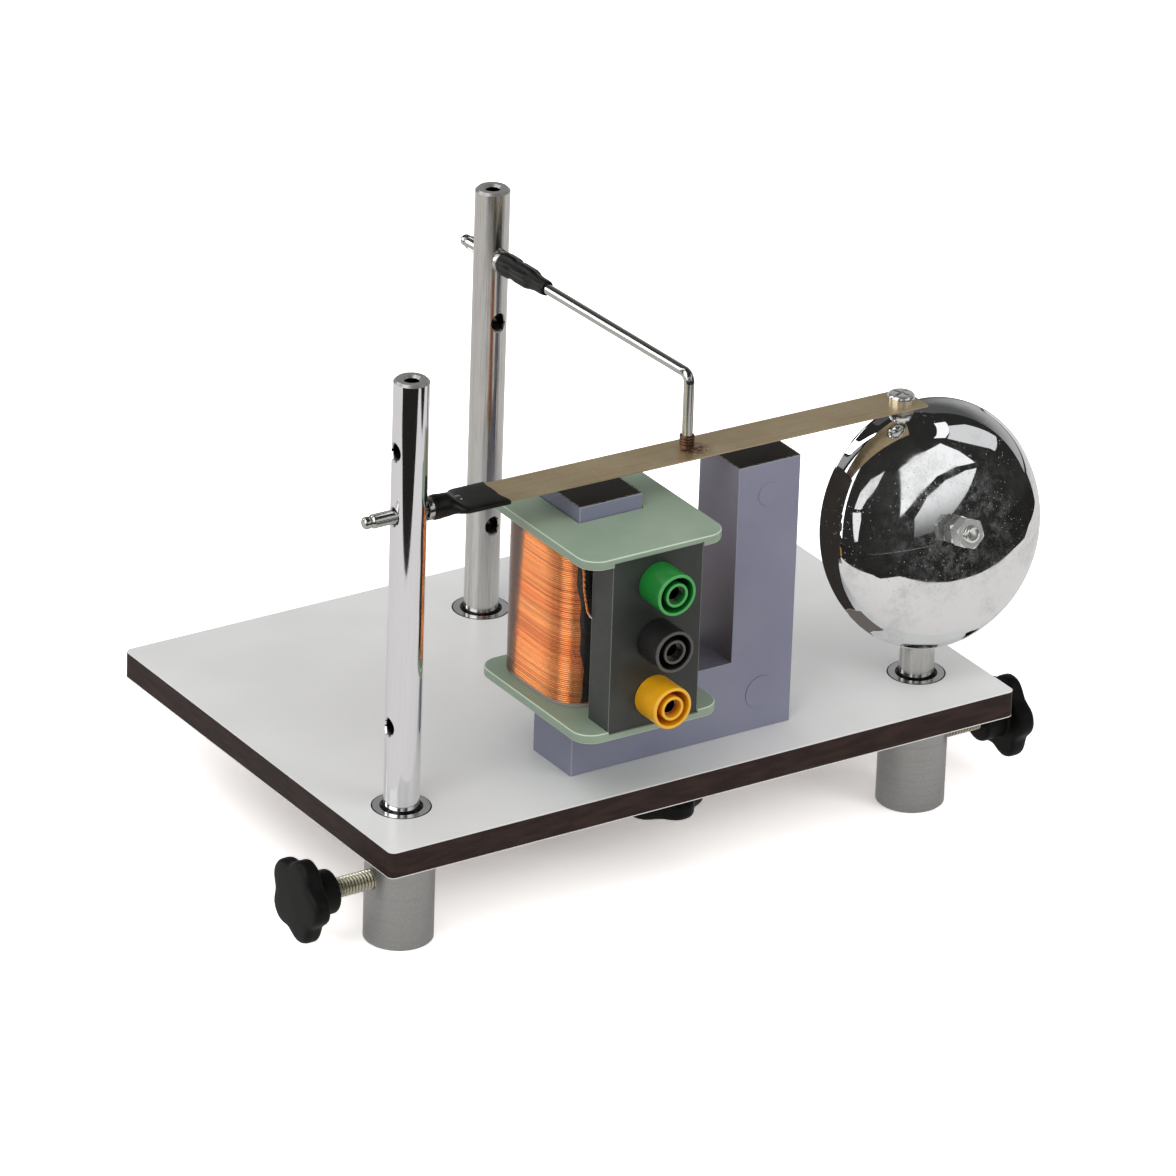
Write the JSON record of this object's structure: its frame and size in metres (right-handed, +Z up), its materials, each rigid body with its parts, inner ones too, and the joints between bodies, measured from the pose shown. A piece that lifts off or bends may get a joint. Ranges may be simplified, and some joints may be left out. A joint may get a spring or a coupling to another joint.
{
  "type": "electric bell demonstrator",
  "caption": "Electric bell demonstrator on a footed board: electromagnet, leaf spring armature with striker, contact arm and chromed gong on clamped rods.",
  "frame": {"origin": "under the middle of the whole apparatus, on the surface it stands on", "axes": "+X to the right along the board's front edge, +Y to the back, +Z up"},
  "size_m": [0.2422, 0.1718, 0.17],
  "materials": {
    "board_core": "dark resin fibre board, fine sawn edge",
    "laminate": "off-white satin laminate",
    "foot_metal": "fine grained matte aluminium",
    "rod_chrome": "polished, light drawing marks",
    "rod_steel": "ground steel, satin",
    "screw_zinc": "yellowish zinc",
    "knob_plastic": "black moulded plastic, fine grain",
    "core_paint": "lilac grey paint, bare dark pole faces",
    "former_plastic": "sage green moulded plastic",
    "copper": "enamelled copper wire",
    "film": "clear film",
    "block_plastic": "dark grey green moulded plastic",
    "socket_green": "green moulded plastic",
    "socket_black": "black moulded plastic",
    "socket_yellow": "yellow moulded plastic",
    "contact_metal": "nickel plated",
    "leaf_bronze": "bronze strip, dull, with rubbed spots",
    "shrink": "black shrink sleeve, soft sheen",
    "nickel": "bright plated",
    "tip_copper": "tarnished contact metal",
    "gong_chrome": "mirror polished, light smudges round the nut"
  },
  "bodies": {
    "base": {"base_board": "board_core", "top_laminate": "laminate", "bottom_laminate": "laminate", "foot_left": "foot_metal", "foot_right": "foot_metal", "foot_rear": "foot_metal", "u_core": "core_paint", "core_rivets": "core_paint", "core_washer": "nickel", "coil_former": "former_plastic", "winding_core": "copper", "winding": "copper", "winding_film": "film", "pigtail": "copper", "terminal_block": "block_plastic", "socket_green": "socket_green", "socket_black": "socket_black", "socket_yellow": "socket_yellow", "socket_contacts": "contact_metal"},
    "left_post": {"rod_left": "rod_chrome", "leaf_plug": "nickel", "leaf_sleeve": "shrink"},
    "armature": {"leaf_spring": "leaf_bronze", "striker_screw": "nickel", "striker_nut": "nickel"},
    "rear_post": {"rod_rear": "rod_steel"},
    "contact_arm": {"contact_plug": "nickel", "contact_sleeve": "shrink", "contact_wire": "nickel", "contact_tip": "tip_copper"},
    "gong_post": {"rod_gong": "rod_steel", "gong_stud": "nickel", "gong": "gong_chrome", "gong_nuts": "nickel", "gong_lock_nut": "nickel"},
    "screw_left": {"clamp_screw_left": "screw_zinc"},
    "handle_left": {"knob_left": "knob_plastic"},
    "screw_right": {"clamp_screw_right": "screw_zinc"},
    "handle_right": {"knob_right": "knob_plastic"},
    "screw_rear": {"clamp_screw_rear": "screw_zinc"},
    "handle_rear": {"knob_rear": "knob_plastic"},
    "screw_core": {"core_screw": "screw_zinc"},
    "handle_core": {"knob_core": "knob_plastic"}
  },
  "joints": [
    {"name": "left_post_turn", "type": "hinge", "parent": "base", "child": "left_post", "pos_m": [-0.0865, -0.044, 0], "axis": [0, 0, -1], "range_deg": [-2, 3]},
    {"name": "armature_flex", "type": "hinge", "parent": "left_post", "child": "armature", "pos_m": [-0.0642, -0.044, 0.12773], "axis": [0, 1, 0], "range_deg": [0, 1.2], "stiffness_Nm_per_rad": 0.33, "springref_deg": -3.44},
    {"name": "rear_post_lift", "type": "slide", "parent": "base", "child": "rear_post", "axis": [0, 0, 1], "range_m": [0, 0.006]},
    {"name": "contact_arm_turn", "type": "hinge", "parent": "rear_post", "child": "contact_arm", "pos_m": [-0.0012, 0.0514, 0.1495], "axis": [0.0424, -0.9991, 0], "range_deg": [0, 90]},
    {"name": "gong_post_turn", "type": "hinge", "parent": "base", "child": "gong_post", "pos_m": [0.0841, -0.044, 0], "axis": [0, 0, 1], "range_deg": [-10, 10]},
    {"name": "screw_left_out", "type": "slide", "parent": "base", "child": "screw_left", "axis": [-1, 0, 0], "range_m": [0, 0.002]},
    {"name": "knob_left_turn", "type": "hinge", "parent": "screw_left", "child": "handle_left", "pos_m": [-0.0865, -0.044, 0.0197], "axis": [-1, 0, 0], "range_deg": [0, 721]},
    {"name": "screw_right_out", "type": "slide", "parent": "base", "child": "screw_right", "axis": [1, 0, 0], "range_m": [0, 0.002]},
    {"name": "knob_right_turn", "type": "hinge", "parent": "screw_right", "child": "handle_right", "pos_m": [0.0841, -0.044, 0.0197], "axis": [1, 0, 0], "range_deg": [0, 721]},
    {"name": "screw_rear_out", "type": "slide", "parent": "base", "child": "screw_rear", "axis": [0, 1, 0], "range_m": [0, 0.002]},
    {"name": "knob_rear_turn", "type": "hinge", "parent": "screw_rear", "child": "handle_rear", "pos_m": [-0.0012, 0.0514, 0.0197], "axis": [0, 1, 0], "range_deg": [0, 721]},
    {"name": "screw_core_out", "type": "slide", "parent": "base", "child": "screw_core", "axis": [0, 0, -1], "range_m": [0, 0.002]},
    {"name": "knob_core_turn", "type": "hinge", "parent": "screw_core", "child": "handle_core", "pos_m": [-0.0007, -0.0424, 0.02], "axis": [0, 0, -1], "range_deg": [0, 721]}
  ],
  "couplings": [
    {"joint": "knob_left_turn", "follows": "screw_left_out", "rad_per_m": 6283.2},
    {"joint": "knob_right_turn", "follows": "screw_right_out", "rad_per_m": 6283.2},
    {"joint": "knob_rear_turn", "follows": "screw_rear_out", "rad_per_m": 6283.2},
    {"joint": "knob_core_turn", "follows": "screw_core_out", "rad_per_m": 6283.2}
  ]
}
